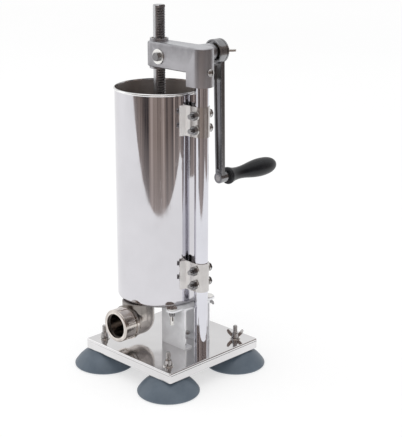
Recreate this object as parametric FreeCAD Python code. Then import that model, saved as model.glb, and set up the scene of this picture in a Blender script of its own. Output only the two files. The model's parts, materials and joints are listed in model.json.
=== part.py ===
import FreeCAD, Part
import math
import os

# Vertical sausage stuffer, millimetres, +Z up.  The origin is on the cylinder's
# axis at the level of the table.  +X points to the post, -Y to the outlet and
# +Y to the crank.
V = FreeCAD.Vector
X_AXIS, Y_AXIS, Z_AXIS = V(1, 0, 0), V(0, 1, 0), V(0, 0, 1)

# Base plate: a folded sheet tray on four suction feet
PLATE_SIZE = 160.0
PLATE_X, PLATE_Y = 28.0, -7.0
FEET_X, FEET_Y = PLATE_X - 2.0, PLATE_Y - 2.0
PLATE_TOP = 35.0
PLATE_T = 1.5
SKIRT_H = 13.0
FOOT_INSET = 19.0
FOOT_R = 39.5
FOOT_SEAT_R = 35.0
STUD_R = 3.0
STUD_TOP = PLATE_TOP + 18.0
GROOVE_DROP, GROOVE_H, GROOVE_DEPTH = 3.0, 0.8, 0.5

# Post and its fixing
POST_X = 74.65
POST_R = 8.85
POST_WALL = 1.5
POST_TOP = 398.0
POST_BOLT_R = 4.0

# Cylinder with a rolled rim, and the flat floor that closes it
CYL_R = 57.0
CYL_WALL = 1.0
CYL_BOTTOM = 91.0
CYL_RIM = 367.4
RIM_BEAD_R = 1.7
BOTTOM_ROUND = 3.5
LIP_R = 52.0
FLOOR_R = 54.0
FLOOR_T = 1.2

# Outlet: cast elbow with a threaded ring that holds a stuffing tube
OUTLET_Z = 65.2
OUTLET_R = 20.9
OUTLET_BORE_R = 15.4
OUTLET_BACK_Y = -41.0
THROAT_R = 12.0
THROAT_Y = -39.0
OUTLET_FACE_Y = -81.0
OUTLET_COLLAR_R = 22.6
COLLAR_LENGTH = 4.0
NECK_GROOVE_R = 18.6
NECK_GROOVE_LENGTH = 2.6
RING_R = 21.4
RING_LENGTH = 18.0
RING_LIP = 3.0
RING_MOUTH_R = 16.4
LUG_R = 2.2
THREAD_R = 18.0

# Folded bracket under the cylinder
SHELF_TOP = CYL_BOTTOM
SHELF_T = 2.5
SHELF_X0, SHELF_X1 = 26.0, 68.0
WEB_Y = 23.2
WEB_T = 2.0
FLANGE_WIDTH = 14.0
EAR_R = 8.0
BRACKET_STUD = (55.5, 33.0)
TAB_R = 6.5
TAB_T = 1.6
BRACKET_STUD_R = 2.5

# Clamp straps between cylinder and post
STRAP_T = 1.2
STRAP_H = 38.0
STRAP_FLANGE_Y = 17.9
STRAP_ZS = (("upper", 314.5, (342.0, 324.0)), ("lower", 113.5, (142.0, 123.4)))
M6_AF = 10.0

# Head casting
HEAD_R = 14.5
HEAD_TOP = 424.5
HEAD_BOTTOM = 393.5
LEG_BOTTOM = 376.6
LEG_X0 = 62.0
COLLAR_R = 11.6
COLLAR_TOP = 428.0
ROD_BOSS_BOTTOM = 390.5
GUIDE_R = 9.5
SET_SCREW_Z = 395.0

# Rack rod, rack pinion and gear pair
ROD_R = 7.5
ROD_TOP = 468.7
ROD_BOTTOM = 161.0
RACK_TIP_X = 5.25
RACK_FLAT_BOTTOM = 174.0
ROD_THREAD_TOP = 173.6
PISTON_SCREW_TOP = 173.0
PRESSURE_ANGLE = math.radians(25.0)
RACK_MODULE = 1.0
PINION_TEETH = 19
GEAR_MODULE = 1.25
GEAR_TEETH = 20
BACKLASH = 0.2
PINION_Z = 407.5
CRANK_Z = 408.8
GEAR_Y0, GEAR_Y1 = 7.8, 11.6
RUN = 0.05
PINION_PITCH_R = RACK_MODULE * PINION_TEETH / 2
PINION_X = RACK_TIP_X - RACK_MODULE + PINION_PITCH_R
GEAR_PITCH_R = GEAR_MODULE * GEAR_TEETH / 2
GEAR_TIP_R = GEAR_PITCH_R + GEAR_MODULE
CRANK_X = PINION_X + math.sqrt((2 * GEAR_PITCH_R) ** 2 - (CRANK_Z - PINION_Z) ** 2)
SHAFT_R = 5.0
BUSH_R = 6.5
BOSS_R = 11.0
BOSS_END_Y = 53.0

# Crank, measured along its axis from the cylinder's axis
HUB_R = 15.5
HUB_Y0, HUB_Y1 = 55.0, 70.6
SQUARE = 7.0
ARM_Y = 66.9
ARM_T = 6.5
ARM_TILT = 1.6
ARM_W_TOP, ARM_W_END = 15.5, 12.5
END_Z = 242.0
END_R = 7.3
END_Y0, END_Y1 = 67.0, 80.0
GRIP_Y0, GRIP_Y1 = 83.5, 177.0
GRIP_PIN_R = 4.0

# Piston
PISTON_R = 54.6
SEAL_R = CYL_R - CYL_WALL - RUN
CORE_R = 49.0
PISTON_Z = 147.0

FOOT_STEP = PLATE_SIZE / 2 - FOOT_INSET
FEET = [
    (side + "_" + end, FEET_X + sx * FOOT_STEP, FEET_Y + sy * FOOT_STEP)
    for side, sy in (("front", -1), ("back", 1))
    for end, sx in (("left", -1), ("right", 1))
]


def cyl(r, x, y, z0, z1):
    return Part.makeCylinder(r, z1 - z0, V(x, y, z0), Z_AXIS)


def cyl_y(r, x, z, y0, y1):
    return Part.makeCylinder(r, y1 - y0, V(x, y0, z), Y_AXIS)


def cyl_x(r, y, z, x0, x1):
    return Part.makeCylinder(r, x1 - x0, V(x0, y, z), X_AXIS)


def box(x0, x1, y0, y1, z0, z1):
    return Part.makeBox(x1 - x0, y1 - y0, z1 - z0, V(x0, y0, z0))


def face_of(points):
    return Part.Face(Part.makePolygon(points + [points[0]]))


def plate_xz(points, y0, y1):
    """Extrude an outline of (x, z) points from y0 to y1."""
    return face_of([V(x, y0, z) for x, z in points]).extrude(V(0, y1 - y0, 0))


def hexagon(af, centre, axis, length):
    """A hexagonal prism, for bolt heads and nuts, with its first face chamfered."""
    r = af / math.sqrt(3)
    angles = [math.radians(60 * k) for k in range(6)]
    prism = face_of([V(r * math.cos(a), r * math.sin(a), 0) for a in angles]).extrude(V(0, 0, length))
    cone = Part.makeCone(r + length - 0.6, r - 0.6, length, V(0, 0, 0), Z_AXIS)
    solid = prism.common(cone)
    solid.Placement = FreeCAD.Placement(centre, FreeCAD.Rotation(Z_AXIS, axis))
    return solid


def turned(edges):
    """Turn a closed chain of edges, given in the XZ plane, about the Z axis."""
    face = Part.Face(Part.Wire(Part.__sortEdges__(edges)))
    return face.revolve(V(0, 0, 0), Z_AXIS, 360)


def line(a, b):
    return Part.LineSegment(V(a[0], 0, a[1]), V(b[0], 0, b[1])).toShape()


def arc(a, m, b):
    return Part.Arc(V(a[0], 0, a[1]), V(m[0], 0, m[1]), V(b[0], 0, b[1])).toShape()


def turned_polygon(points):
    return turned([line(points[k], points[(k + 1) % len(points)]) for k in range(len(points))])


def smooth(points):
    curve = Part.BSplineCurve()
    curve.interpolate([V(x, 0, z) for x, z in points])
    return curve.toShape()


def joined(shapes):
    solid = shapes[0].fuse(shapes[1:]) if len(shapes) > 1 else shapes[0]
    return solid.removeSplitter()


def ring_z(r_out, r_in, x, y, z0, z1):
    return cyl(r_out, x, y, z0, z1).cut(cyl(r_in, x, y, z0 - 1, z1 + 1))


def ring_y(r_out, r_in, x, z, y0, y1):
    return cyl_y(r_out, x, z, y0, y1).cut(cyl_y(r_in, x, z, y0 - 1, y1 + 1))


def save(node, shapes):
    """Write one solid, or a group of identical ones, as a node."""
    group = shapes if isinstance(shapes, list) else [shapes]
    solids = [s for shape in group for s in shape.Solids]
    for solid in solids:
        if not solid.isValid() or solid.Volume <= 0:
            print("bad solid in", node)
    shape = solids[0] if len(solids) == 1 else Part.makeCompound(solids)
    shape.exportStep("parts/" + node + ".step")


def wing_nut(bore, height, hub_r, span, up):
    """A wing nut standing on z = 0: a cone hub with two flat wings."""
    hub = Part.makeCone(hub_r, hub_r * 0.78, height, V(0, 0, 0), Z_AXIS)
    lobe = [
        (hub_r * 0.3, 0.8), (hub_r, 1.0), (span * 0.62, 2.6), (span * 0.9, up * 0.55),
        (span, up * 0.85), (span * 0.93, up), (span * 0.78, up), (span * 0.6, up * 0.8),
        (hub_r * 0.8, height * 0.95), (hub_r * 0.3, height),
    ]
    thick = hub_r * 0.22
    wings = [plate_xz([(s * x, z) for x, z in lobe], -thick, thick) for s in (1, -1)]
    return joined([hub] + wings).cut(cyl(bore, 0, 0, -1, up + 1))


def placed(shape, base, axis=Z_AXIS, spin=0.0):
    turn = FreeCAD.Rotation(Z_AXIS, axis).multiply(FreeCAD.Rotation(Z_AXIS, spin))
    copy = shape.copy()
    copy.Placement = FreeCAD.Placement(base, turn)
    return copy


def half_tooth(radius, pitch_r, base_r, thickness):
    """Half of a tooth's angular width at a radius."""
    def involute(angle):
        return math.tan(angle) - angle
    here = math.acos(min(1.0, base_r / radius)) if radius > base_r else 0.0
    return thickness / (2 * pitch_r) + involute(PRESSURE_ANGLE) - involute(here)


def gear(module, teeth, cx, cz, y0, y1, tooth_angle, bore):
    """A spur gear on an axis along Y, with one tooth centred at tooth_angle."""
    pitch_r = module * teeth / 2
    base_r = pitch_r * math.cos(PRESSURE_ANGLE)
    root_r, tip_r = pitch_r - 1.25 * module, pitch_r + module
    thickness = math.pi * module / 2 - BACKLASH / 2
    flank = [root_r] + [base_r + (tip_r - base_r) * k / 4 for k in range(5) if base_r > root_r or k]
    points = []
    for k in range(teeth):
        mid = tooth_angle + 2 * math.pi * k / teeth
        sides = [(r, half_tooth(r, pitch_r, base_r, thickness)) for r in flank]
        outline = [(r, -half) for r, half in sides] + [(r, half) for r, half in reversed(sides)]
        points += [(cx + r * math.cos(mid + a), cz + r * math.sin(mid + a)) for r, a in outline]
    return plate_xz(points, y0, y1).cut(cyl_y(bore, cx, cz, y0 - 1, y1 + 1))


# ---------------------------------------------------------------- base


def base_plate():
    half = PLATE_SIZE / 2
    x0, x1 = PLATE_X - half, PLATE_X + half
    y0, y1 = PLATE_Y - half, PLATE_Y + half
    z0 = PLATE_TOP - SKIRT_H
    tray = box(x0, x1, y0, y1, z0, PLATE_TOP)
    corners = [e for e in tray.Edges if abs(e.tangentAt(e.FirstParameter).z) > 0.9]
    tray = tray.makeFillet(2.5, corners)
    rim = [e for e in tray.Edges if e.BoundBox.ZMin > PLATE_TOP - 0.01]
    tray = tray.makeFillet(1.8, rim)
    inside = box(x0 + PLATE_T, x1 - PLATE_T, y0 + PLATE_T, y1 - PLATE_T, z0 - 1, PLATE_TOP - PLATE_T)
    groove_z = PLATE_TOP - GROOVE_DROP
    d = GROOVE_DEPTH
    core = box(x0 + d, x1 - d, y0 + d, y1 - d, groove_z - GROOVE_H, groove_z)
    groove = box(x0 - 1, x1 + 1, y0 - 1, y1 + 1, groove_z - GROOVE_H, groove_z).cut(core)
    tray = tray.cut(inside).cut(groove)
    for _, x, y in FEET:
        tray = tray.cut(cyl(STUD_R + 0.3, x, y, z0, PLATE_TOP + 1))
    tray = tray.cut(cyl(POST_BOLT_R, POST_X, 0, z0, PLATE_TOP + 1))
    for x, y in bracket_screws():
        tray = tray.cut(cyl(BRACKET_STUD_R, x, y, z0, PLATE_TOP + 1))
    return tray


def suction_foot(x, y):
    under = PLATE_TOP - PLATE_T
    edges = [
        arc((0, 7.0), (20.0, 5.0), (FOOT_SEAT_R, 0)),
        line((FOOT_SEAT_R, 0), (FOOT_R - 1.0, 0)),
        arc((FOOT_R - 1.0, 0), (FOOT_R, 1.2), (FOOT_R - 0.6, 3.2)),
        arc((FOOT_R - 0.6, 3.2), (30.0, 13.4), (13.5, 22.4)),
        line((13.5, 22.4), (12.5, 24.5)),
        line((12.5, 24.5), (12.5, under)),
        line((12.5, under), (0, under)),
        line((0, under), (0, 7.0)),
    ]
    cup = turned(edges).cut(cyl(STUD_R, 0, 0, 16.0, under + 1))
    return cup.translated(V(x, y, 0))


def bracket_screws():
    middle = WEB_Y - WEB_T - (FLANGE_WIDTH - WEB_T) / 2
    return [(x, s * middle) for x in (SHELF_X0 + 8, SHELF_X1 - 11) for s in (-1, 1)]


def build_base():
    save("base_plate", base_plate())
    nut = wing_nut(STUD_R + RUN, 6.0, 5.2, 11.0, 11.0)
    nut_base = PLATE_TOP + 1.2 + 0.3
    spins = {"front_left": -35.0, "front_right": -55.0, "back_left": 60.0, "back_right": 40.0}
    for name, x, y in FEET:
        save("suction_foot_" + name, suction_foot(x, y))
        save("foot_wing_nut_" + name, placed(nut, V(x, y, nut_base), Z_AXIS, spins[name]))
    studs = []
    washers = []
    for _, x, y in FEET:
        stud = cyl(STUD_R, x, y, 16.0, STUD_TOP)
        studs.append(stud.makeChamfer(0.5, [e for e in stud.Edges if e.BoundBox.ZMin > STUD_TOP - 0.01]))
        washers.append(ring_z(7.0, STUD_R + 0.3, x, y, PLATE_TOP, PLATE_TOP + 1.2))
    save("foot_studs", studs)
    save("foot_washers", washers)


def build_post():
    tube = ring_z(POST_R, POST_R - POST_WALL, POST_X, 0, PLATE_TOP, POST_TOP)
    for _, _, heights in STRAP_ZS:
        for z in heights:
            tube = tube.cut(cyl_y(STUD_R + 0.1, POST_X, z, -20, 20))
    save("post", tube)
    plug = ring_z(POST_R - POST_WALL, POST_BOLT_R, POST_X, 0, PLATE_TOP, PLATE_TOP + 25)
    save("post_foot_plug", plug)
    under = PLATE_TOP - PLATE_T
    shank = cyl(POST_BOLT_R, POST_X, 0, under - 1.6, PLATE_TOP + 20)
    head = hexagon(13.0, V(POST_X, 0, under - 1.6), V(0, 0, -1), 5.3)
    save("post_foot_bolt", joined([shank, head]))
    save("post_foot_washer", ring_z(8.5, POST_BOLT_R, POST_X, 0, under - 1.6, under))


# ---------------------------------------------------------------- cylinder and outlet


def rounded_bottom(r, outer):
    """The quarter turn at the cylinder's foot, from the wall to the lip."""
    flat_z = CYL_BOTTOM if outer else CYL_BOTTOM + CYL_WALL
    centre_r, centre_z = CYL_R - BOTTOM_ROUND, CYL_BOTTOM + BOTTOM_ROUND
    radius = r - centre_r
    slant = radius * math.sqrt(0.5)
    return arc((r, centre_z), (centre_r + slant, centre_z - slant), (centre_r, flat_z))


def cylinder_outside():
    centre_r, centre_z = CYL_R - BOTTOM_ROUND, CYL_BOTTOM + BOTTOM_ROUND
    return turned([
        line((0, CYL_BOTTOM), (centre_r, CYL_BOTTOM)), rounded_bottom(CYL_R, True),
        line((CYL_R, centre_z), (CYL_R, CYL_RIM - 1)), line((CYL_R, CYL_RIM - 1), (0, CYL_RIM - 1)),
        line((0, CYL_RIM - 1), (0, CYL_BOTTOM)),
    ])


def build_cylinder():
    r_in = CYL_R - CYL_WALL
    centre_r, centre_z = CYL_R - BOTTOM_ROUND, CYL_BOTTOM + BOTTOM_ROUND
    lip_top = CYL_BOTTOM + CYL_WALL
    tube = turned([
        line((LIP_R, CYL_BOTTOM), (centre_r, CYL_BOTTOM)), rounded_bottom(CYL_R, True),
        line((CYL_R, centre_z), (CYL_R, CYL_RIM - 1)), line((CYL_R, CYL_RIM - 1), (r_in, CYL_RIM - 1)),
        line((r_in, CYL_RIM - 1), (r_in, centre_z)), rounded_bottom(r_in, False),
        line((centre_r, lip_top), (LIP_R, lip_top)), line((LIP_R, lip_top), (LIP_R, CYL_BOTTOM)),
    ])
    bead = Part.makeTorus(CYL_R - CYL_WALL / 2, RIM_BEAD_R, V(0, 0, CYL_RIM - RIM_BEAD_R), Z_AXIS)
    save("cylinder", joined([tube, bead.cut(cyl(r_in, 0, 0, 300, 400))]))


def flow_space():
    """The passage that the meat takes from the cylinder's floor to the outlet's mouth."""
    return joined([
        cyl_y(OUTLET_BORE_R, 0, OUTLET_Z, OUTLET_FACE_Y - 1, OUTLET_BACK_Y),
        Part.makeSphere(OUTLET_BORE_R, V(0, OUTLET_BACK_Y, OUTLET_Z)),
        cyl(THROAT_R, 0, THROAT_Y, OUTLET_Z, CYL_BOTTOM + 1),
    ])


def build_outlet():
    flow = flow_space()
    floor_z = CYL_BOTTOM - FLOOR_T
    save("cylinder_floor", cyl(FLOOR_R, 0, 0, floor_z, CYL_BOTTOM).cut(flow))
    neck_y = OUTLET_FACE_Y + RING_LENGTH
    groove_y = neck_y + COLLAR_LENGTH
    pipe_y = groove_y + NECK_GROOVE_LENGTH
    rise = cyl(OUTLET_R, 0, OUTLET_BACK_Y, OUTLET_Z, CYL_BOTTOM)
    rise = rise.makeFillet(1.2, [e for e in rise.Edges if e.BoundBox.ZMin > CYL_BOTTOM - 0.01])
    elbow = joined([
        rise,
        Part.makeSphere(OUTLET_R, V(0, OUTLET_BACK_Y, OUTLET_Z)),
        cyl_y(OUTLET_R, 0, OUTLET_Z, pipe_y, OUTLET_BACK_Y),
        cyl_y(NECK_GROOVE_R, 0, OUTLET_Z, groove_y, pipe_y),
        cyl_y(OUTLET_COLLAR_R, 0, OUTLET_Z, neck_y + 0.5, groove_y),
        cyl_y(THREAD_R, 0, OUTLET_Z, OUTLET_FACE_Y + RING_LIP + 2.2, neck_y + 0.5),
    ])
    elbow = elbow.cut(cyl(FLOOR_R, 0, 0, floor_z, CYL_BOTTOM + 1)).cut(flow)
    save("outlet_elbow", max(elbow.Solids, key=lambda s: s.Volume))
    ring = cyl_y(RING_R, 0, OUTLET_Z, OUTLET_FACE_Y, neck_y)
    rim = [e for e in ring.Edges if e.BoundBox.YMax < OUTLET_FACE_Y + 0.01]
    lug_reach = RING_R - 1.2
    lugs = []
    for angle in [math.radians(60 * k + 20) for k in range(6)]:
        x, z = lug_reach * math.cos(angle), OUTLET_Z + lug_reach * math.sin(angle)
        lugs.append(cyl_y(LUG_R, x, z, OUTLET_FACE_Y + 5, neck_y - 1.5))
    ring = joined([ring.makeFillet(1.6, rim)] + lugs)
    lip_y = OUTLET_FACE_Y + RING_LIP
    ring = ring.cut(cyl_y(RING_MOUTH_R, 0, OUTLET_Z, OUTLET_FACE_Y - 1, lip_y + 1))
    ring = ring.cut(cyl_y(THREAD_R + RUN, 0, OUTLET_Z, lip_y, neck_y + 1))
    save("outlet_ring_nut", ring)
    save("outlet_seal", ring_y(THREAD_R - 0.4, OUTLET_BORE_R, 0, OUTLET_Z, lip_y + 0.4, lip_y + 2.2))


# ---------------------------------------------------------------- bracket under the cylinder


def bracket_frame():
    under = SHELF_TOP - SHELF_T
    foot_top = PLATE_TOP + WEB_T
    pieces = [box(SHELF_X0, SHELF_X1, -WEB_Y, WEB_Y, under, SHELF_TOP)]
    for s in (-1, 1):
        x, y = BRACKET_STUD[0], s * BRACKET_STUD[1]
        ear0, ear1 = sorted((s * (WEB_Y - 1), y))
        pieces.append(cyl(EAR_R, x, y, under, SHELF_TOP))
        pieces.append(box(x - EAR_R, x + EAR_R, ear0, ear1, under, SHELF_TOP))
        web0, web1 = sorted((s * WEB_Y, s * (WEB_Y - WEB_T)))
        pieces.append(box(SHELF_X0, SHELF_X1, web0, web1, PLATE_TOP, under))
        flange0, flange1 = sorted((s * WEB_Y, s * (WEB_Y - FLANGE_WIDTH)))
        pieces.append(box(SHELF_X0, SHELF_X1, flange0, flange1, PLATE_TOP, foot_top))
    frame = joined(pieces)
    for s in (-1, 1):
        x, y = BRACKET_STUD[0], s * BRACKET_STUD[1]
        frame = frame.cut(cyl(BRACKET_STUD_R + 0.25, x, y, under - 1, SHELF_TOP + 1))
    frame = frame.cut(cyl(FLOOR_R + 0.4, 0, 0, CYL_BOTTOM - FLOOR_T, SHELF_TOP + 1))
    frame = frame.cut(cyl(POST_R + 0.5, POST_X, 0, under - 1, SHELF_TOP + 1))
    for x, y in bracket_screws():
        frame = frame.cut(cyl(BRACKET_STUD_R, x, y, PLATE_TOP - 1, foot_top + 1))
    return frame


def bracket_screw(x, y):
    seat = PLATE_TOP + WEB_T
    head = Part.makeCone(4.6, 3.4, 2.6, V(x, y, seat), Z_AXIS)
    return joined([head, cyl(BRACKET_STUD_R, x, y, PLATE_TOP - 7.5, seat + 0.5)])


def cylinder_tab(x, y):
    """A tab welded to the cylinder's foot with a stud hanging from it."""
    under = SHELF_TOP - SHELF_T
    top = SHELF_TOP + TAB_T
    strip = box(CYL_R - 5, math.hypot(x, y), -TAB_R, TAB_R, SHELF_TOP, top)
    strip.rotate(V(0, 0, 0), Z_AXIS, math.degrees(math.atan2(y, x)))
    stud = cyl(BRACKET_STUD_R, x, y, under - 19.0, top)
    return joined([stud, cyl(TAB_R, x, y, SHELF_TOP, top), strip]).cut(cylinder_outside())


def build_bracket():
    save("bracket", bracket_frame())
    screws, nuts = [], []
    for x, y in bracket_screws():
        screws.append(bracket_screw(x, y))
        nut = hexagon(8.0, V(x, y, PLATE_TOP - PLATE_T), V(0, 0, -1), 4.0)
        nuts.append(nut.cut(cyl(BRACKET_STUD_R, x, y, 20, 40)))
    save("bracket_screws", screws)
    save("bracket_nuts", nuts)
    under = SHELF_TOP - SHELF_T
    tabs, washers = [], []
    wing = wing_nut(BRACKET_STUD_R + RUN, 5.5, 4.2, 9.2, 9.5)
    for name, s, spin in (("front", -1, 40.0), ("back", 1, 100.0)):
        x, y = BRACKET_STUD[0], s * BRACKET_STUD[1]
        tabs.append(cylinder_tab(x, y))
        washers.append(ring_z(5.5, BRACKET_STUD_R + 0.2, x, y, under - 1.0, under))
        save("cylinder_wing_nut_" + name, placed(wing, V(x, y, under - 1.3), V(0, 0, -1), spin))
    save("cylinder_tabs", tabs)
    save("cylinder_tab_washers", washers)


# ---------------------------------------------------------------- straps


def build_straps():
    r_out = POST_R + STRAP_T
    for name, z0, heights in STRAP_ZS:
        z1 = z0 + STRAP_H
        half = ring_z(r_out, POST_R, POST_X, 0, z0, z1).common(box(POST_X, POST_X + 20, -20, 20, z0, z1))
        wrap = ring_z(CYL_R + STRAP_T, CYL_R, 0, 0, z0, z1)
        sides = []
        for s in (-1, 1):
            ear0, ear1 = sorted((s * POST_R, s * r_out))
            foot0, foot1 = sorted((s * POST_R, s * STRAP_FLANGE_Y))
            sides.append(box(CYL_R - 10, POST_X, ear0, ear1, z0, z1))
            sides.append(wrap.common(box(0, POST_X, foot0, foot1, z0, z1)))
        strap = joined([half] + sides).cut(cyl(CYL_R, 0, 0, z0 - 1, z1 + 1))
        for z in heights:
            strap = strap.cut(cyl_y(STUD_R + 0.1, POST_X, z, -20, 20))
        save("clamp_strap_" + name, strap)
    bolts, nuts, washers = [], [], []
    face = r_out
    for _, _, heights in STRAP_ZS:
        for z in heights:
            head = hexagon(M6_AF, V(POST_X, face + 1.2, z), Y_AXIS, 4.0)
            bolts.append(joined([head, cyl_y(STUD_R, POST_X, z, -face - 11.5, face + 1.2)]))
            nut = hexagon(M6_AF, V(POST_X, -face - 1.2, z), V(0, -1, 0), 5.0)
            nuts.append(nut.cut(cyl_y(STUD_R, POST_X, z, -30, 0)))
            for y0, y1 in ((face, face + 1.2), (-face - 1.2, -face)):
                washers.append(ring_y(6.0, STUD_R, POST_X, z, y0, y1))
    save("strap_bolts", bolts)
    save("strap_nuts", nuts)
    save("strap_washers", washers)


# ---------------------------------------------------------------- head


def stadium(z0, z1, x0=0.0):
    return joined([
        cyl(HEAD_R, x0, 0, z0, z1),
        cyl(HEAD_R, POST_X, 0, z0, z1),
        box(x0, POST_X, -HEAD_R, HEAD_R, z0, z1),
    ])


def gear_chamber():
    r = GEAR_TIP_R + 0.5
    y0, y1 = GEAR_Y0 - 0.4, GEAR_Y1 + 0.4
    lower = HEAD_BOTTOM - 6
    dx, dz = (CRANK_X - PINION_X) / (2 * GEAR_PITCH_R), (CRANK_Z - PINION_Z) / (2 * GEAR_PITCH_R)
    bridge = plate_xz([
        (PINION_X - r * dz, PINION_Z + r * dx), (CRANK_X - r * dz, CRANK_Z + r * dx),
        (CRANK_X + r, CRANK_Z), (CRANK_X + r, lower), (PINION_X - r, lower), (PINION_X - r, PINION_Z),
    ], y0, y1)
    return joined([cyl_y(r, PINION_X, PINION_Z, y0, y1), cyl_y(r, CRANK_X, CRANK_Z, y0, y1), bridge])


def pinion_chamber():
    r = PINION_PITCH_R + RACK_MODULE + 0.5
    y0, y1 = -5.5, GEAR_Y0
    mouth = box(GUIDE_R + 0.7, PINION_X + r, y0, y1, HEAD_BOTTOM - 6, PINION_Z)
    return joined([cyl_y(r, PINION_X, PINION_Z, y0, y1), mouth])


def set_screw():
    end = POST_X + HEAD_R
    dome = Part.makeSphere(6.2, V(end - 2.4, 0, SET_SCREW_Z))
    head = dome.common(cyl_x(5.0, 0, SET_SCREW_Z, end, end + 6))
    shank = cyl_x(STUD_R, 0, SET_SCREW_Z, POST_X + POST_R, end + 1)
    slot = box(end + 2.2, end + 6, -0.6, 0.6, SET_SCREW_Z - 5, SET_SCREW_Z + 5)
    return joined([shank, head]).cut(slot)


def build_head():
    body = stadium(HEAD_BOTTOM, HEAD_TOP)
    top = [e for e in body.Edges if e.BoundBox.ZMin > HEAD_TOP - 0.01]
    body = body.makeFillet(3.0, top)
    low = [e for e in body.Edges if e.BoundBox.ZMax < HEAD_BOTTOM + 0.01]
    body = body.makeFillet(1.2, low)
    leg = joined([cyl(HEAD_R, POST_X, 0, LEG_BOTTOM, HEAD_BOTTOM + 4),
                  box(LEG_X0, POST_X, -HEAD_R, HEAD_R, LEG_BOTTOM, HEAD_BOTTOM + 4)])
    leg = leg.cut(box(POST_X - 20, LEG_X0, -20, 20, LEG_BOTTOM - 1, HEAD_BOTTOM + 5))
    boss = Part.makeCone(BOSS_R + 1.2, BOSS_R, BOSS_END_Y - 10, V(CRANK_X, 10, CRANK_Z), Y_AXIS)
    casting = joined([
        body, leg, boss,
        cyl(COLLAR_R + 0.6, 0, 0, ROD_BOSS_BOTTOM, HEAD_BOTTOM + 2),
        cyl(COLLAR_R, 0, 0, HEAD_TOP - 4, COLLAR_TOP),
    ])
    for cut in (
        gear_chamber(), pinion_chamber(),
        cyl(GUIDE_R, 0, 0, ROD_BOSS_BOTTOM - 1, 396.0),
        cyl(ROD_R + 0.7, 0, 0, 395.0, 420.0),
        cyl(GUIDE_R, 0, 0, 419.5, COLLAR_TOP + 1),
        cyl(POST_R, POST_X, 0, LEG_BOTTOM - 1, POST_TOP),
        cyl_y(BUSH_R, CRANK_X, CRANK_Z, -5.0, BOSS_END_Y + 1),
        cyl_y(STUD_R, PINION_X, PINION_Z, -20, 20),
        cyl_x(STUD_R, 0, SET_SCREW_Z, POST_X, 100),
    ):
        casting = casting.cut(cut)
    save("head_casting", max(casting.Solids, key=lambda s: s.Volume))
    guide_ends = ((ROD_BOSS_BOTTOM, 396.0), (419.5, COLLAR_TOP - 1.2))
    save("rod_guides", [ring_z(GUIDE_R, ROD_R + RUN, 0, 0, z0, z1) for z0, z1 in guide_ends])
    save("post_set_screw", set_screw())


def build_bushes():
    def bush(y0, y1):
        return ring_y(BUSH_R, SHAFT_R + RUN, CRANK_X, CRANK_Z, y0, y1)
    save("crank_bush_inner", bush(-4.0, GEAR_Y0 - 0.4))
    save("crank_bush_middle", bush(GEAR_Y1 + 0.4, 26.0))
    flange = ring_y(9.0, SHAFT_R + RUN, CRANK_X, CRANK_Z, BOSS_END_Y, BOSS_END_Y + 1.2)
    save("crank_bush_outer", joined([bush(38.0, BOSS_END_Y), flange]))


# ---------------------------------------------------------------- drive


def mesh_direction():
    return math.atan2(CRANK_Z - PINION_Z, CRANK_X - PINION_X)


def build_pinion():
    rack_pinion = gear(RACK_MODULE, PINION_TEETH, PINION_X, PINION_Z, -5.0, 5.0, math.pi, STUD_R + RUN)
    hub_r = 6.0
    hub = ring_y(hub_r, STUD_R + RUN, PINION_X, PINION_Z, 5.0, GEAR_Y1)
    save("rack_pinion", joined([rack_pinion, hub]))
    spur = gear(GEAR_MODULE, GEAR_TEETH, PINION_X, PINION_Z, GEAR_Y0, GEAR_Y1, mesh_direction(), hub_r)
    save("pinion_gear", spur)
    bolt = joined([
        hexagon(M6_AF, V(PINION_X, -HEAD_R - 1.5, PINION_Z), V(0, -1, 0), 4.0),
        cyl_y(STUD_R, PINION_X, PINION_Z, -HEAD_R - 1.5, HEAD_R + 8.5),
    ])
    save("pinion_axle_bolt", bolt)
    nut = hexagon(M6_AF, V(PINION_X, HEAD_R + 1.5, PINION_Z), Y_AXIS, 5.0)
    save("pinion_axle_nut", nut.cut(cyl_y(STUD_R, PINION_X, PINION_Z, 0, 40)))
    save("pinion_axle_washers", [
        ring_y(9.5, STUD_R, PINION_X, PINION_Z, -HEAD_R - 1.5, -HEAD_R),
        ring_y(9.5, STUD_R, PINION_X, PINION_Z, HEAD_R, HEAD_R + 1.5),
    ])


def build_rack():
    rod = cyl(ROD_R, 0, 0, ROD_BOTTOM, ROD_TOP)
    rod = rod.makeChamfer(0.8, [e for e in rod.Edges if e.BoundBox.ZMin > ROD_TOP - 0.01])
    rod = rod.cut(box(RACK_TIP_X, 20, -20, 20, RACK_FLAT_BOTTOM, ROD_TOP + 1))
    pitch = math.pi * RACK_MODULE
    pitch_x, root_x = RACK_TIP_X - RACK_MODULE, RACK_TIP_X - 2.25 * RACK_MODULE
    half = pitch / 4 + BACKLASH / 4
    slope = math.tan(PRESSURE_ANGLE)
    mouth = half + (RACK_TIP_X + 1 - pitch_x) * slope
    floor = half - (pitch_x - root_x) * slope
    first = math.ceil((RACK_FLAT_BOTTOM + 3 - PINION_Z) / pitch)
    last = math.floor((ROD_TOP - 3 - PINION_Z) / pitch)
    gaps = []
    for z in [PINION_Z + k * pitch for k in range(first, last + 1)]:
        x = RACK_TIP_X + 1
        outline = [(x, z - mouth), (root_x, z - floor), (root_x, z + floor), (x, z + mouth)]
        gaps.append(plate_xz(outline, -10, 10))
    rod = rod.cut(Part.makeCompound(gaps)).cut(cyl(STUD_R, 0, 0, ROD_BOTTOM - 1, ROD_THREAD_TOP))
    save("rack_rod", rod)


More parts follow.
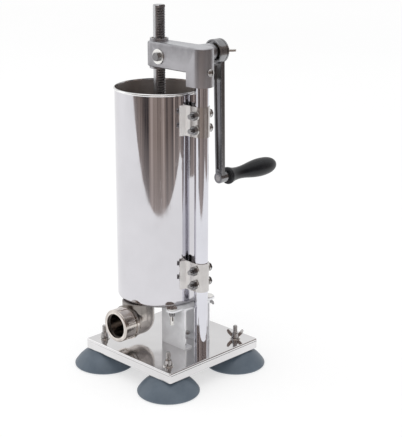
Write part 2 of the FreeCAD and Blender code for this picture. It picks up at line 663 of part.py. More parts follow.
def build_piston():
    z = PISTON_Z
    lower = cyl(PISTON_R, 0, 0, z, z + 3)
    upper = joined([cyl(CORE_R, 0, 0, z + 3, z + 11), cyl(PISTON_R, 0, 0, z + 11, ROD_BOTTOM)])
    boss = ring_z(14.0, ROD_R, 0, 0, ROD_BOTTOM, ROD_BOTTOM + 6)
    valve_x, valve_y = -22.0, -22.0
    holes = [cyl(STUD_R, 0, 0, z - 1, ROD_BOTTOM + 1), cyl(4.0, valve_x, valve_y, z - 1, ROD_BOTTOM + 1)]
    lower = lower.makeFillet(1.0, [e for e in lower.Edges if e.BoundBox.ZMax < z + 0.01])
    for hole in holes:
        lower, upper = lower.cut(hole), upper.cut(hole)
    save("piston_lower_plate", lower)
    save("piston_upper_plate", upper)
    save("piston_rod_socket", boss)
    seal = turned_polygon([
        (CORE_R, z + 3), (PISTON_R, z + 3), (SEAL_R, z + 4.5), (SEAL_R, z + 6), (SEAL_R - 1.2, z + 7),
        (SEAL_R, z + 8), (SEAL_R, z + 9.5), (PISTON_R, z + 11), (CORE_R, z + 11),
    ])
    save("piston_seal", seal)
    screw = joined([hexagon(M6_AF, V(0, 0, z), V(0, 0, -1), 3.5), cyl(STUD_R, 0, 0, z, PISTON_SCREW_TOP)])
    save("piston_screw", screw)
    stem = joined([cyl(6.0, valve_x, valve_y, z - 1.5, z), cyl(4.0, valve_x, valve_y, z, ROD_BOTTOM + 5.5)])
    save("air_valve", stem.cut(cyl(1.6, valve_x, valve_y, z - 2, ROD_BOTTOM + 6)))
    nut = hexagon(11.0, V(valve_x, valve_y, ROD_BOTTOM), Z_AXIS, 4.0)
    save("air_valve_nut", nut.cut(cyl(4.0, valve_x, valve_y, ROD_BOTTOM - 1, ROD_BOTTOM + 6)))


# ---------------------------------------------------------------- crank


def crank_arm_blade():
    length = CRANK_Z - END_Z
    top, end = ARM_W_TOP / 2, ARM_W_END / 2
    z0, z1 = END_Z, CRANK_Z
    outline = [(CRANK_X - end, z0), (CRANK_X + end, z0), (CRANK_X + top, z1), (CRANK_X - top, z1)]
    blade = plate_xz(outline, ARM_Y - ARM_T / 2, ARM_Y + ARM_T / 2)
    corners = [e for e in blade.Edges if e.Length > length * 0.9]
    blade = blade.makeFillet(1.2, corners)
    rib, depth = 3.2, 1.7
    z2, z3 = END_Z + END_R + 4, CRANK_Z - HUB_R - 3
    pocket = [
        (CRANK_X - end + rib, z2), (CRANK_X + end - rib, z2),
        (CRANK_X + top - rib, z3), (CRANK_X - top + rib, z3),
    ]
    blade = blade.cut(plate_xz(pocket, ARM_Y - ARM_T, ARM_Y - ARM_T / 2 + depth))
    blade = blade.cut(plate_xz(pocket, ARM_Y + ARM_T / 2 - depth, ARM_Y + ARM_T))
    return blade.rotated(V(CRANK_X, ARM_Y, CRANK_Z), X_AXIS, ARM_TILT)


def build_crank():
    shaft = joined([cyl_y(SHAFT_R, CRANK_X, CRANK_Z, -3.8, HUB_Y0)])
    s = SQUARE / 2
    square = box(CRANK_X - s, CRANK_X + s, HUB_Y0 - 1, HUB_Y1 - 0.5, CRANK_Z - s, CRANK_Z + s)
    square = square.common(cyl_y(SHAFT_R - 0.2, CRANK_X, CRANK_Z, HUB_Y0 - 1, HUB_Y1))
    thread = cyl_y(STUD_R, CRANK_X, CRANK_Z, HUB_Y1 - 1, HUB_Y1 + 13.0)
    thread = thread.makeChamfer(0.5, [e for e in thread.Edges if e.BoundBox.YMin > HUB_Y1 + 12.9])
    shaft = joined([shaft, square, thread])
    save("crank_shaft", shaft)
    phase = mesh_direction() + math.pi + math.pi / GEAR_TEETH
    save("crank_gear", gear(GEAR_MODULE, GEAR_TEETH, CRANK_X, CRANK_Z, GEAR_Y0, GEAR_Y1, phase, SHAFT_R))
    hub = cyl_y(HUB_R, CRANK_X, CRANK_Z, HUB_Y0, HUB_Y1)
    hub = hub.makeChamfer(1.0, [e for e in hub.Edges if e.BoundBox.YLength < 0.01])
    groove = ring_y(HUB_R + 1, HUB_R - 0.6, CRANK_X, CRANK_Z, 66.2, 67.2)
    end_boss = cyl_y(END_R, CRANK_X, END_Z, END_Y0, END_Y1)
    end_boss = end_boss.makeChamfer(0.6, [e for e in end_boss.Edges if e.BoundBox.YLength < 0.01])
    arm = joined([hub.cut(groove), crank_arm_blade(), end_boss])
    arm = arm.cut(ring_y(HUB_R - 2.2, SHAFT_R + 3.5, CRANK_X, CRANK_Z, HUB_Y0 - 1, HUB_Y0 + 1.4))
    arm = arm.cut(shaft).cut(cyl_y(GRIP_PIN_R, CRANK_X, END_Z, END_Y0 - 1, END_Y1 + 1))
    save("crank_arm", max(arm.Solids, key=lambda s: s.Volume))
    save("crank_washer", ring_y(9.0, STUD_R, CRANK_X, CRANK_Z, HUB_Y1, HUB_Y1 + 1.5))
    nut = wing_nut(STUD_R + RUN, 7.0, 6.0, 14.0, 13.0)
    save("crank_wing_nut", placed(nut, V(CRANK_X, HUB_Y1 + 1.8, CRANK_Z), Y_AXIS, 0.0))


def build_grip():
    pin = joined([
        cyl_y(GRIP_PIN_R, CRANK_X, END_Z, END_Y0, 163.0),
        cyl_y(END_R - 0.6, CRANK_X, END_Z, END_Y1, END_Y1 + 2.5),
    ])
    pin = pin.cut(ring_y(GRIP_PIN_R + 1, GRIP_PIN_R - 0.6, CRANK_X, END_Z, 159.0, 160.2))
    save("grip_pin", pin)
    clip = ring_y(GRIP_PIN_R + 1.8, GRIP_PIN_R - 0.6, CRANK_X, END_Z, 159.0, 160.2)
    save("grip_clip", clip)
    length = GRIP_Y1 - GRIP_Y0
    profile = [
        (10.9, 0.0), (11.5, 2.0), (10.7, 5.5), (8.9, 13.0), (8.2, 21.0), (8.9, 33.0), (10.9, 47.0),
        (12.3, 61.0), (12.1, 74.0), (10.3, 84.5), (7.6, 90.6), (5.2, length),
    ]
    body = turned([
        smooth(profile), line(profile[-1], (0, length)),
        line((0, length), (0, 0)), line((0, 0), profile[0]),
    ])
    body = body.cut(cyl(GRIP_PIN_R + RUN + 0.03, 0, 0, -1, 158.0 - GRIP_Y0))
    body = body.cut(cyl(GRIP_PIN_R + 2.3, 0, 0, 158.0 - GRIP_Y0, 165.0 - GRIP_Y0))
    save("grip", placed(body, V(CRANK_X, GRIP_Y0, END_Z), Y_AXIS, 0.0))


def main():
    os.makedirs("parts", exist_ok=True)
    build_base()
    build_post()
    build_cylinder()
    build_outlet()
    build_bracket()
    build_straps()
    build_head()
    build_bushes()
    build_pinion()
    build_rack()
    build_piston()
    build_crank()
    build_grip()


main()
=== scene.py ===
"""Looks of the sausage stuffer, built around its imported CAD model.  Metres, CAD frame."""
import json
import math

import bpy
from mathutils import Matrix, Vector


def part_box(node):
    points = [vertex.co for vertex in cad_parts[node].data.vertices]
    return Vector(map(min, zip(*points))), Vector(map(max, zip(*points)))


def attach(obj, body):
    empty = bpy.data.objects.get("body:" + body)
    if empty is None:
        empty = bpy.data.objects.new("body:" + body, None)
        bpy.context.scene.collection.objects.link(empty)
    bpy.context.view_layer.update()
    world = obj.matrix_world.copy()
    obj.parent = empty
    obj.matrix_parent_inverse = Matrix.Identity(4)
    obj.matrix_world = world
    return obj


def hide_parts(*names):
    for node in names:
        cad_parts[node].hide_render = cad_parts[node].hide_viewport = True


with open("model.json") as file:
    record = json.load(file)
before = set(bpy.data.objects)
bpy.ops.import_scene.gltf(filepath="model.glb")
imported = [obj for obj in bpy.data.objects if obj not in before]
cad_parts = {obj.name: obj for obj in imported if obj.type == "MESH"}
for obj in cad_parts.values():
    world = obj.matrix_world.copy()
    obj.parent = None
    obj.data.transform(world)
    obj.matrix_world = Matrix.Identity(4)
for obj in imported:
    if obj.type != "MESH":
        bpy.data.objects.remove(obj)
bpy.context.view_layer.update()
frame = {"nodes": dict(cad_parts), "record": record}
MM = 0.001
CYLINDER_SEGMENTS = 288
FEET = ("front_left", "front_right", "back_left", "back_right")


# ------------------------------------------------------------------ node helpers


class Shader:
    """A material's node tree, with short calls for the nodes that repeat."""

    def __init__(self, name):
        self.material = bpy.data.materials.new(name)
        self.material.use_nodes = True
        self.tree = self.material.node_tree
        self.bsdf = self.tree.nodes["Principled BSDF"]
        self.coord = self.tree.nodes.new("ShaderNodeTexCoord").outputs["Object"]

    def node(self, kind, **values):
        made = self.tree.nodes.new("ShaderNode" + kind)
        for key, value in values.items():
            if key in made.inputs:
                self.put(value, made.inputs[key])
            else:
                setattr(made, key, value)
        return made

    def put(self, value, socket):
        if isinstance(value, bpy.types.NodeSocket):
            self.tree.links.new(value, socket)
        else:
            socket.default_value = value

    def stretched(self, x, y, z):
        made = self.node("Mapping", Vector=self.coord)
        made.inputs["Scale"].default_value = (x, y, z)
        return made.outputs["Vector"]

    def noise(self, scale, detail=4.0, vector=None, roughness=0.55):
        made = self.node("TexNoise", Vector=vector or self.coord, Scale=scale, Detail=detail)
        made.inputs["Roughness"].default_value = roughness
        return made.outputs["Fac"]

    def span(self, value, low, high, to_low=0.0, to_high=1.0):
        made = self.node("MapRange", Value=value)
        for key, number in (("From Min", low), ("From Max", high), ("To Min", to_low), ("To Max", to_high)):
            made.inputs[key].default_value = number
        return made.outputs["Result"]

    def math(self, how, a, b=0.0):
        made = self.node("Math", operation=how)
        self.put(a, made.inputs[0])
        self.put(b, made.inputs[1])
        return made.outputs[0]

    def mix(self, factor, a, b):
        made = self.node("Mix", data_type="RGBA")
        self.put(factor, made.inputs["Factor"])
        for socket, value in ((made.inputs[6], a), (made.inputs[7], b)):
            self.put(value if isinstance(value, bpy.types.NodeSocket) else (*value, 1.0), socket)
        return made.outputs[2]

    def bump(self, height, strength, distance=0.0002, under=None):
        made = self.node("Bump", Height=height, Strength=strength, Distance=distance)
        if under is not None:
            self.put(under, made.inputs["Normal"])
        return made.outputs["Normal"]

    def worn(self, spread=0.03):
        """1 on sharp outer edges, 0 on flats."""
        pointy = self.node("NewGeometry").outputs["Pointiness"]
        return self.span(pointy, 0.5 + spread * 0.3, 0.5 + spread)

    # Mask for painted shade: 1 in hollows and creases, 0 on flats.
    def crevice_shade(self, spread=0.04):
        pointy = self.node("NewGeometry").outputs["Pointiness"]
        return self.span(pointy, 0.5 - spread, 0.5 - spread * 0.2, 1.0, 0.0)

    def finish(self, color=None, rough=None, normal=None, metallic=0.0, **constants):
        self.bsdf.inputs["Metallic"].default_value = metallic
        for key, value in (("Base Color", color), ("Roughness", rough), ("Normal", normal)):
            if value is not None:
                if key == "Base Color" and not isinstance(value, bpy.types.NodeSocket):
                    value = (*value, 1.0)
                self.put(value, self.bsdf.inputs[key])
        for key, value in constants.items():
            self.bsdf.inputs[key.replace("_", " ")].default_value = value
        return self.material


# ------------------------------------------------------------------ materials


def polished_steel(name, tint, rough, lines="z", smudge=0.06):
    """Mirror steel: faint polishing lines along one direction, smudges, a few fine scratches."""
    s = Shader(name)
    across = {"z": (900, 900, 6), "x": (6, 900, 900)}[lines]
    streak = s.noise(1.0, 3.0, s.stretched(*across))
    cloud = s.noise(14.0, 5.0)
    print_marks = s.noise(55.0, 3.0)
    scratch = s.noise(1.0, 2.0, s.stretched(260, 90, 30), 0.7)
    fine = s.span(scratch, 0.66, 0.72)
    dull = s.math("MULTIPLY", s.span(cloud, 0.45, 0.75), smudge)
    dull = s.math("ADD", dull, s.math("MULTIPLY", s.span(print_marks, 0.55, 0.8), smudge * 0.7))
    dull = s.math("ADD", dull, s.math("MULTIPLY", fine, 0.10))
    rough_value = s.math("ADD", dull, s.span(streak, 0.3, 0.7, rough, rough * 1.9))
    shade = tuple(c * 0.90 for c in tint)
    color = s.mix(s.span(cloud, 0.35, 0.75), tint, shade)
    # Painted shade: colour darkened in hollows and creases.
    color = s.mix(s.math("MULTIPLY", s.crevice_shade(), 0.5), color, tuple(c * 0.45 for c in tint))
    normal = s.bump(streak, 0.05, 0.0001)
    normal = s.bump(fine, 0.03, 0.0001, normal)
    normal = s.bump(s.noise(22.0, 2.0), 0.02, 0.001, normal)
    return s.finish(color, rough_value, normal, 1.0)


def satin_steel(name, tint, rough=0.28, metallic=1.0):
    s = Shader(name)
    grain = s.noise(1.0, 4.0, s.stretched(500, 500, 40))
    cloud = s.noise(60.0, 4.0)
    color = s.mix(s.span(cloud, 0.35, 0.7), tint, tuple(c * 0.84 for c in tint))
    # Painted shade: colour darkened in hollows and creases.
    color = s.mix(s.math("MULTIPLY", s.crevice_shade(), 0.6), color, tuple(c * 0.35 for c in tint))
    brushed = s.span(grain, 0.3, 0.7, rough * 0.8, rough * 1.3)
    rough_value = s.math("ADD", brushed, s.span(cloud, 0.5, 0.8, 0.0, 0.08))
    return s.finish(color, rough_value, s.bump(grain, 0.12, 0.0001), metallic)


def cast_metal(name, tint, rough, grain_scale=900.0, depth=0.25, wear=0.5, pale_tone=0.0, weld=0.0):
    """A casting: pitted skin, rubbed edges, painted shade in the hollows, painted light on up-facing tops,
    painted shade above a given height.
    """
    s = Shader(name)
    skin = s.noise(grain_scale, 6.0)
    waves = s.noise(70.0, 3.0)
    stain = s.noise(95.0, 8.0, None, 0.7)
    drawn = s.noise(1.0, 3.0, s.stretched(240, 240, 30))
    color = s.mix(s.span(stain, 0.35, 0.7), tint, tuple(c * 0.72 for c in tint))
    color = s.mix(s.span(drawn, 0.35, 0.75, 0.0, 0.35), color, tuple(min(1.0, c * 1.3) for c in tint))
    color = s.mix(s.math("MULTIPLY", s.worn(), wear), color, tuple(min(1.0, c * 1.7) for c in tint))
    # Painted shade: colour darkened in hollows and creases.
    color = s.mix(s.math("MULTIPLY", s.crevice_shade(), 0.6), color, tuple(c * 0.4 for c in tint))
    # Painted shade: above the height given as weld the colour darkens, with a ragged edge.
    if weld:
        height = s.node("SeparateXYZ", Vector=s.coord).outputs["Z"]
        height = s.math("ADD", height, s.span(stain, 0.3, 0.7, -0.004, 0.004))
        color = s.mix(s.span(height, weld, weld + 0.010, 0.0, 0.75), color, tuple(c * 0.25 for c in tint))
    # Painted light: up-facing faces lightened toward pale blue-grey, as if lit from above.
    if pale_tone:
        upward = s.node("SeparateXYZ", Vector=s.node("NewGeometry").outputs["Normal"]).outputs["Z"]
        color = s.mix(s.span(upward, 0.5, 0.95, 0.0, pale_tone), color, (0.72, 0.73, 0.76))
    pitted = s.span(skin, 0.3, 0.7, rough * 0.85, rough * 1.2)
    rough_value = s.math("ADD", pitted, s.span(stain, 0.4, 0.8, 0.0, 0.08))
    normal = s.bump(waves, 0.10, 0.0008)
    normal = s.bump(skin, depth, 0.00015, normal)
    return s.finish(color, rough_value, normal, 1.0)


def foot_rubber():
    s = Shader("foot_rubber")
    pale_tone = s.noise(45.0, 6.0)
    speck = s.noise(1400.0, 2.0)
    color = s.mix(s.span(pale_tone, 0.4, 0.75), (0.088, 0.118, 0.152), (0.125, 0.16, 0.20))
    color = s.mix(s.math("MULTIPLY", s.worn(0.05), 0.5), color, (0.20, 0.24, 0.29))
    # Painted shade: colour darkened in hollows and creases.
    color = s.mix(s.math("MULTIPLY", s.crevice_shade(), 0.7), color, (0.03, 0.04, 0.055))
    rough = s.span(pale_tone, 0.3, 0.7, 0.38, 0.55)
    normal = s.bump(speck, 0.12, 0.0001)
    normal = s.bump(s.noise(90.0, 3.0), 0.08, 0.0004, normal)
    return s.finish(color, rough, normal, 0.0, Coat_Weight=0.12, Coat_Roughness=0.35)


def grip_plastic():
    s = Shader("grip_plastic")
    grain = s.noise(1600.0, 3.0)
    haze = s.noise(50.0, 5.0)
    color = s.mix(s.span(haze, 0.4, 0.75), (0.004, 0.005, 0.007), (0.009, 0.010, 0.013))
    color = s.mix(s.math("MULTIPLY", s.worn(0.05), 0.4), color, (0.06, 0.06, 0.065))
    rough = s.span(haze, 0.3, 0.75, 0.27, 0.42)
    normal = s.bump(grain, 0.10, 0.0001)
    normal = s.bump(s.noise(120.0, 2.0), 0.05, 0.0004, normal)
    return s.finish(color, rough, normal, 0.0, Specular_IOR_Level=0.32)


def strap_sheet():
    """Strap steel: matt brushed flanges beside the post, lightened to near-white as a painted reflection of
    the white surroundings, and bare metal in the band round it.
    """
    s = Shader("strap_steel")
    grain = s.noise(1.0, 4.0, s.stretched(500, 500, 40))
    cloud = s.noise(60.0, 4.0)
    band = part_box("post")[0].x - 0.001
    across = s.node("SeparateXYZ", Vector=s.coord).outputs["X"]
    # Painted reflection: the flat flanges left of the post are lightened to near-white and made less
    # metallic.
    painted_light_flange = s.span(across, band - 0.001, band + 0.001, 1.0, 0.0)
    color = s.mix(s.span(cloud, 0.35, 0.7), (0.62, 0.60, 0.59), (0.52, 0.50, 0.49))
    color = s.mix(painted_light_flange, color, (0.86, 0.84, 0.83))
    # Painted shade: colour darkened in hollows and creases.
    color = s.mix(s.math("MULTIPLY", s.crevice_shade(), 0.6), color, (0.26, 0.25, 0.25))
    rough = s.math("ADD", s.span(grain, 0.3, 0.7, 0.17, 0.28), s.math("MULTIPLY", painted_light_flange, 0.25))
    done = s.finish(color, rough, s.bump(grain, 0.12, 0.0001), 1.0)
    s.put(s.span(painted_light_flange, 0.0, 1.0, 1.0, 0.3), s.bsdf.inputs["Metallic"])
    return done


def floor_with_shade_ring():
    """Sheet steel under the cylinder, with a ragged ring of painted shade round the outlet."""
    s = Shader("floor_steel")
    grain = s.noise(1.0, 4.0, s.stretched(40, 400, 400))
    cloud = s.noise(50.0, 4.0)
    away = s.node("VectorMath", operation="DISTANCE")
    s.put(s.coord, away.inputs[0])
    away.inputs[1].default_value = (0.012, -0.045, 0.09)
    ragged = s.math("ADD", away.outputs["Value"], s.span(cloud, 0.3, 0.7, -0.006, 0.006))
    # Painted shade: a dark ring round the outlet, its edge made ragged by noise.
    shade_ring = s.span(ragged, 0.034, 0.048, 1.0, 0.0)
    color = s.mix(s.span(cloud, 0.35, 0.7), (0.72, 0.71, 0.71), (0.60, 0.59, 0.59))
    color = s.mix(s.math("MULTIPLY", shade_ring, 0.9), color, (0.13, 0.125, 0.125))
    rough = s.span(grain, 0.3, 0.7, 0.26, 0.42)
    return s.finish(color, rough, s.bump(grain, 0.1, 0.0001), 1.0)


def silicone():
    s = Shader("seal_silicone")
    cloud = s.noise(60.0, 4.0)
    color = s.mix(s.span(cloud, 0.4, 0.7), (0.80, 0.80, 0.77), (0.70, 0.70, 0.66))
    return s.finish(color, s.span(cloud, 0.3, 0.7, 0.4, 0.55), s.bump(s.noise(900.0), 0.08, 0.0001), 0.0)


def machined(name, tint, rough=0.24):
    """Turned or cut metal with oil-darkened patches; its roots and hollows are darkened as painted shade."""
    s = Shader(name)
    cut = s.noise(1.0, 3.0, s.stretched(120, 900, 900))
    oil = s.noise(80.0, 5.0)
    color = s.mix(s.span(oil, 0.4, 0.7), tint, tuple(c * 0.7 for c in tint))
    color = s.mix(s.math("MULTIPLY", s.worn(0.05), 0.7), color, tuple(min(1.0, c * 1.5) for c in tint))
    # Painted shade: colour darkened strongly in roots and hollows.
    color = s.mix(s.math("MULTIPLY", s.crevice_shade(0.05), 0.85), color, tuple(c * 0.16 for c in tint))
    rough_value = s.span(oil, 0.3, 0.7, rough * 0.8, rough * 1.5)
    return s.finish(color, rough_value, s.bump(cut, 0.10, 0.0001), 1.0)


def make_materials():
    return {
        # Satin inside; its darker brownish tint is a painted dark reflection.
        "cylinder_inside": satin_steel("cylinder_inside", (0.50, 0.46, 0.44), 0.42),
        # Painted highlight: a brighter copy of the fastener steel for washers, tabs and the crank wing nut.
        "painted_highlight_steel": satin_steel("painted_highlight_steel", (0.88, 0.87, 0.85), 0.22),
        # Painted highlight: a near-white copy of the cylinder sheet for the rolled rim bead.
        "rim_highlight_steel": satin_steel("rim_highlight_steel", (0.95, 0.95, 0.95), 0.16),
        # Painted light: a near-white copy of sheet steel that lightens the shaded bracket web.
        "bracket_lit_steel": satin_steel("bracket_lit_steel", (0.94, 0.945, 0.97), 0.42, 0.1),
        "floor_steel": floor_with_shade_ring(),
        # Painted shade: a darker copy of the fastener steel for bolts, nuts and cylinder wing nuts.
        "shaded_fastener_steel": machined("shaded_fastener_steel", (0.24, 0.235, 0.24), 0.2),
        "mouth_shadow": satin_steel("mouth_shadow", (0.22, 0.20, 0.19), 0.4),
        "mirror_steel": polished_steel("mirror_steel", (0.67, 0.66, 0.69), 0.03),
        "plate_steel": polished_steel("plate_steel", (0.78, 0.77, 0.775), 0.05, "x"),
        "post_chrome": polished_steel("post_chrome", (0.72, 0.72, 0.77), 0.04, smudge=0.03),
        "strap_steel": strap_sheet(),
        "zinc_fastener": machined("zinc_fastener", (0.40, 0.385, 0.38), 0.17),
        "foot_rubber": foot_rubber(),
        "outlet_steel": cast_metal("outlet_steel", (0.60, 0.555, 0.52), 0.17, 1100.0, 0.10, 0.6),
        # Painted shade on the elbow's upper part, under the cylinder floor.
        "elbow_steel": cast_metal("elbow_steel", (0.60, 0.555, 0.52), 0.17, 1100.0, 0.10, 0.6, weld=0.070),
        "seal_silicone": silicone(),
        # The last argument paints light on the casting's up-facing tops.
        "cast_aluminium": cast_metal("cast_aluminium", (0.31, 0.305, 0.32), 0.36, 800.0, 0.3, 0.7, 0.6),
        "bronze_bush": machined("bronze_bush", (0.62, 0.43, 0.20), 0.25),
        "gear_steel": machined("gear_steel", (0.45, 0.45, 0.46), 0.28),
        "rack_steel": machined("rack_steel", (0.34, 0.34, 0.35), 0.25),
        "piston_steel": satin_steel("piston_steel", (0.70, 0.70, 0.70), 0.2),
        # Painted dark reflection: a darker copy of the cast aluminium for the crank.
        "crank_metal": cast_metal("crank_metal", (0.23, 0.23, 0.237), 0.20, 1500.0, 0.03, 0.6),
        "grip_plastic": grip_plastic(),
    }


# Nodes whose slot has more than one finish.
SPECIAL = {
    "base_plate": "plate_steel", "bracket": "bracket_lit_steel", "cylinder_tabs": "painted_highlight_steel",
    "cylinder_floor": "floor_steel", "outlet_elbow": "elbow_steel", "outlet_seal": "mouth_shadow",
    "crank_wing_nut": "painted_highlight_steel",
    "cylinder_wing_nut_front": "shaded_fastener_steel", "cylinder_wing_nut_back": "shaded_fastener_steel",
    "strap_bolts": "shaded_fastener_steel", "strap_nuts": "shaded_fastener_steel", "pinion_axle_bolt": "shaded_fastener_steel",
    "pinion_axle_washers": "painted_highlight_steel", "strap_washers": "painted_highlight_steel", "foot_washers": "painted_highlight_steel",
}


def dress(materials):
    """Give every CAD node the finished material of its slot."""
    slots = {entry["node"]: entry["material_slot"] for entry in frame["record"]["subparts"]}
    for node, obj in frame["nodes"].items():
        slot = SPECIAL.get(node, slots[node])
        for index in range(max(1, len(obj.material_slots))):
            if not obj.material_slots:
                obj.data.materials.append(materials[slot])
            obj.material_slots[index].material = materials[slot]


# ------------------------------------------------------------------ detailed pieces


def lathe(profile, segments):
    """Vertices and faces of an outline of (radius, z) points, in mm, turned about the cylinder's axis."""
    verts, faces = [], []
    for r, z in profile:
        for k in range(segments):
            a = 2 * math.pi * k / segments
            verts.append((r * math.cos(a) * MM, r * math.sin(a) * MM, z * MM))
    rows = len(profile)
    for j in range(rows):
        for k in range(segments):
            n, up = (k + 1) % segments, (j + 1) % rows
            faces.append((j * segments + k, j * segments + n, up * segments + n, up * segments + k))
    return verts, faces


def threaded(center, radius, z0, z1, pitch=1.0, depth=0.5, segments=28, steps=6):
    """A vertical rod with a real helical thread, closed by a cone at its upper end."""
    verts, faces = [], []
    rows = int((z1 - z0) / pitch * steps)
    for j in range(rows + 1):
        z = z0 + (z1 - z0) * j / rows
        fade = min(1.0, (z1 - z) / 0.8)
        for k in range(segments):
            turn = (z / pitch - k / segments) % 1.0
            groove = depth * abs(2.0 * turn - 1.0)
            r = radius - max(groove, 0.6 * (1.0 - fade))
            a = 2 * math.pi * k / segments
            verts.append(((center[0] + r * math.cos(a)) * MM, (center[1] + r * math.sin(a)) * MM, z * MM))
    for j in range(rows):
        for k in range(segments):
            n = (k + 1) % segments
            faces.append((j * segments + k, j * segments + n, (j + 1) * segments + n, (j + 1) * segments + k))
    faces.append(tuple(rows * segments + k for k in range(segments)))
    faces.append(tuple(reversed(range(segments))))
    return verts, faces


def merged(parts):
    verts, faces = [], []
    for part_verts, part_faces in parts:
        base = len(verts)
        verts += part_verts
        faces += [tuple(base + i for i in face) for face in part_faces]
    return verts, faces


def add_piece(name, shape, body, materials, replaced=()):
    mesh = bpy.data.meshes.new(name)
    mesh.from_pydata(shape[0], [], shape[1])
    for material in materials:
        mesh.materials.append(material)
    mesh.validate()
    mesh.shade_smooth()
    obj = bpy.data.objects.new(name, mesh)
    bpy.context.collection.objects.link(obj)
    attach(obj, body)
    if replaced:
        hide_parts(*replaced)
    return obj


def quarter(center_r, center_z, radius, steps=8):
    """Points of a rounded foot, from the wall down and inwards to the lip."""
    angles = [math.pi / 2 * k / steps for k in range(steps + 1)]
    return [(center_r + radius * math.cos(a), center_z - radius * math.sin(a)) for a in angles]


def make_cylinder(materials):
    """The food cylinder: rolled rim, rounded foot, polished outside and satin inside."""
    low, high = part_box("cylinder")
    bottom, rim = low.z / MM, high.z / MM
    wall, bead, turn = 1.0, 1.7, 3.5
    radius = (high.x - low.x) / 2 / MM - (bead - wall / 2)
    bead_r, bead_z = radius - wall / 2, rim - bead
    inner = radius - wall
    angles = [math.radians(90 - 9 * k) for k in range(19)]
    outside = [(bead_r + bead * math.cos(a), bead_z + bead * math.sin(a)) for a in angles]
    outside.append((radius, outside[-1][1] - 0.05))
    foot_out = quarter(radius - turn, bottom + turn, turn)
    foot_in = quarter(radius - turn, bottom + turn, turn - wall)[::-1]
    under_bead = outside[-1][1] - 0.8
    flats = [(radius, z) for z in (under_bead, 300, 230, 160, bottom + 8)]
    lip = 52.0
    outer_half = outside + flats + foot_out + [(lip, bottom)]
    inner_half = [(lip, bottom + wall)] + foot_in + [(inner, z) for z in (160, 230, 300, bead_z)]
    shape = lathe(outer_half + inner_half, CYLINDER_SEGMENTS)
    # The rim bead takes a brighter copy of the sheet steel as a painted highlight.
    finishes = [materials[kind] for kind in ("mirror_steel", "cylinder_inside", "rim_highlight_steel")]
    obj = add_piece("cylinder_shell", shape, "frame", finishes, ("cylinder",))
    first_inside = len(outer_half) * CYLINDER_SEGMENTS
    last_rim = (len(outside) - 1) * CYLINDER_SEGMENTS
    for polygon in obj.data.polygons:
        first = min(polygon.vertices)
        polygon.material_index = 1 if first >= first_inside else 2 if first < last_rim else 0
    sharpen(obj, 20)


def sharpen(obj, degrees):
    """Smooth shading that keeps edges sharper than an angle."""
    obj.data.set_sharp_from_angle(angle=math.radians(degrees))


def make_studs(materials):
    """Threaded studs through the suction feet."""
    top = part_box("foot_studs")[1].z / MM
    rods = []
    for foot in FEET:
        low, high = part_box("suction_foot_" + foot)
        center = ((low.x + high.x) / 2 / MM, (low.y + high.y) / 2 / MM)
        rods.append(threaded(center, 3.0, 16.0, top))
    shape, metal = merged(rods), materials["zinc_fastener"]
    add_piece("foot_stud_threads", shape, "frame", [metal], ("foot_studs",))


# CAD nodes whose edges are rounded for the render, with the millimetres of bevel for each.
BEVELS = {
    "head_casting": 1.1, "crank_arm": 0.6, "outlet_ring_nut": 0.5, "outlet_elbow": 0.5, "bracket": 0.35,
    "clamp_strap_upper": 0.25, "clamp_strap_lower": 0.25, "cylinder_tabs": 0.3, "crank_wing_nut": 0.4,
    "strap_bolts": 0.25, "strap_nuts": 0.25, "strap_washers": 0.2, "pinion_axle_bolt": 0.3,
    "pinion_axle_nut": 0.3, "pinion_axle_washers": 0.25, "post_set_screw": 0.3, "foot_washers": 0.2,
    "cylinder_wing_nut_front": 0.3, "cylinder_wing_nut_back": 0.3, "crank_washer": 0.2,
    "foot_wing_nut_front_left": 0.35, "foot_wing_nut_front_right": 0.35,
    "foot_wing_nut_back_left": 0.35, "foot_wing_nut_back_right": 0.35,
}


def soften():
    """Round the edges of cast, folded and stamped parts with modifiers."""
    for node, width in BEVELS.items():
        obj = frame["nodes"][node]
        weld = obj.modifiers.new("weld", "WELD")
        weld.merge_threshold = 0.00002
        flat = obj.modifiers.new("whole_faces", "DECIMATE")
        flat.decimate_type = "DISSOLVE"
        flat.angle_limit = math.radians(0.6)
        bevel = obj.modifiers.new("round_edges", "BEVEL")
        bevel.width = width * MM
        bevel.segments = 3
        bevel.limit_method = "ANGLE"
        bevel.angle_limit = math.radians(38)
        bevel.use_clamp_overlap = True
        normals = obj.modifiers.new("even_normals", "WEIGHTED_NORMAL")
        normals.keep_sharp = False
        normals.weight = 80


# ------------------------------------------------------------------ studio

VIEW_AZIMUTH, VIEW_ELEVATION, VIEW_ROLL = math.radians(44.671), math.radians(17.268), math.radians(0.215)
AHEAD = Vector((math.sin(VIEW_AZIMUTH), -math.cos(VIEW_AZIMUTH), 0.0))
ASIDE = Vector((math.cos(VIEW_AZIMUTH), math.sin(VIEW_AZIMUTH), 0.0))


def make_floor():
    bpy.ops.mesh.primitive_plane_add(size=40, location=(0, 0, -0.0004))
    floor = bpy.context.object
    floor.name = "studio_floor"
    s = Shader("studio_floor")
    tone = s.mix(s.span(s.noise(0.6, 3.0), 0.3, 0.7), (0.50, 0.50, 0.50), (0.52, 0.52, 0.52))
    s.finish(tone, 0.85, None, 0.0, Emission_Strength=FLOOR_GLOW, Specular_IOR_Level=0.0)
    s.bsdf.inputs["Emission Color"].default_value = (1, 1, 1, 1)
    floor.data.materials.append(s.material)


def make_world():
    world = bpy.data.worlds.new("studio")
    bpy.context.scene.world = world
    world.use_nodes = True
    background = world.node_tree.nodes["Background"]
    background.inputs["Color"].default_value = (1.0, 1.0, 1.0, 1.0)
    background.inputs["Strength"].default_value = WORLD_GLOW


FLOOR_GLOW = 0.55
WORLD_GLOW = 0.85

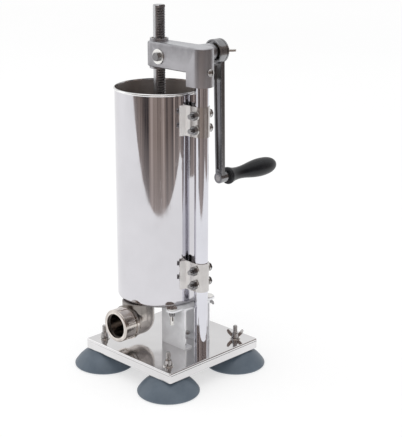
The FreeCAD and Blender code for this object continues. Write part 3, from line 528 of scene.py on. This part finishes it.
# The white table ends in a straight front edge, and a dark room lies beyond it: metres from the machine.
TABLE_AHEAD, TABLE_LEFT, TABLE_RIGHT, TABLE_SIDE_BACK = 0.75, 2.4, 1.0, -0.3
ROOM_HEIGHT = 1.0
ROOM_COLORS = [
    (0.36, (0.02, 0.02, 0.025)), (0.46, (0.15, 0.12, 0.11)),
    (0.55, (0.30, 0.24, 0.21)), (0.66, (0.50, 0.42, 0.38)),
]


def room_material():
    """Upright stripes of made-up furniture and curtains, paler towards the floor."""
    s = Shader("studio_room")
    ramp = s.node("ValToRGB", Fac=s.noise(1.0, 3.0, s.stretched(9.0, 9.0, 0.4)))
    elements = ramp.color_ramp.elements
    for place, color in ROOM_COLORS:
        elements.new(place).color = (*color, 1.0)
    elements.remove(elements[0])
    elements.remove(elements[len(elements) - 1])
    height = s.node("SeparateXYZ", Vector=s.coord).outputs["Z"]
    glow = s.mix(s.span(height, 0.0, 0.15, 0.5, 0.0), ramp.outputs["Color"], (0.5, 0.45, 0.43))
    s.finish((0.0, 0.0, 0.0), 1.0, None, 0.0, Emission_Strength=1.0, Specular_IOR_Level=0.0)
    s.put(glow, s.bsdf.inputs["Emission Color"])
    return s.material


def make_room():
    """A tall card of dark stripes at the table's front edge, seen only by polished metal."""
    mesh = bpy.data.meshes.new("studio_room")
    plan = [(-TABLE_LEFT, TABLE_AHEAD), (TABLE_RIGHT, TABLE_AHEAD), (TABLE_RIGHT, TABLE_SIDE_BACK)]
    points = [AHEAD * ahead + ASIDE * aside for aside, ahead in plan]
    verts = [p for p in points] + [p + Vector((0, 0, ROOM_HEIGHT)) for p in points]
    n = len(points)
    mesh.from_pydata(verts, [], [(k, k + 1, n + k + 1, n + k) for k in range(n - 1)])
    mesh.materials.append(room_material())
    room = bpy.data.objects.new("studio_room", mesh)
    bpy.context.collection.objects.link(room)
    room.visible_camera = room.visible_diffuse = room.visible_shadow = room.visible_transmission = False


def area_light(name, place, target, size, power, color=(1, 1, 1)):
    data = bpy.data.lights.new(name, "AREA")
    data.shape = "RECTANGLE"
    data.size, data.size_y = size
    data.energy = power
    data.color = color
    obj = bpy.data.objects.new(name, data)
    bpy.context.collection.objects.link(obj)
    obj.location = place
    obj.rotation_euler = (Vector(target) - Vector(place)).to_track_quat("-Z", "Y").to_euler()
    return obj


def make_lights():
    target = (0.03, 0.0, 0.22)
    area_light("top_soft", (0.1, -0.3, 1.9), target, (1.6, 1.6), 4)
    area_light("left_soft", (-1.7, -0.9, 0.9), target, (0.9, 1.6), 3)


def make_camera():
    target, distance = Vector((0.0375, 0.0371, 0.193)), 1.46255
    back = AHEAD * math.cos(VIEW_ELEVATION) + Vector((0, 0, math.sin(VIEW_ELEVATION)))
    data = bpy.data.cameras.new("camera")
    data.lens = 92.47
    data.sensor_width = 36.0
    camera = bpy.data.objects.new("camera", data)
    bpy.context.collection.objects.link(camera)
    camera.location = target + back * distance
    turn = (-back).to_track_quat("-Z", "Y").to_matrix() @ Matrix.Rotation(VIEW_ROLL, 3, "Z")
    camera.rotation_euler = turn.to_euler()
    bpy.context.scene.camera = camera


make_camera()
make_world()
make_lights()
make_floor()
make_room()
materials = make_materials()
dress(materials)
soften()
make_cylinder(materials)
make_studs(materials)
bpy.context.scene.view_settings.view_transform = "Standard"
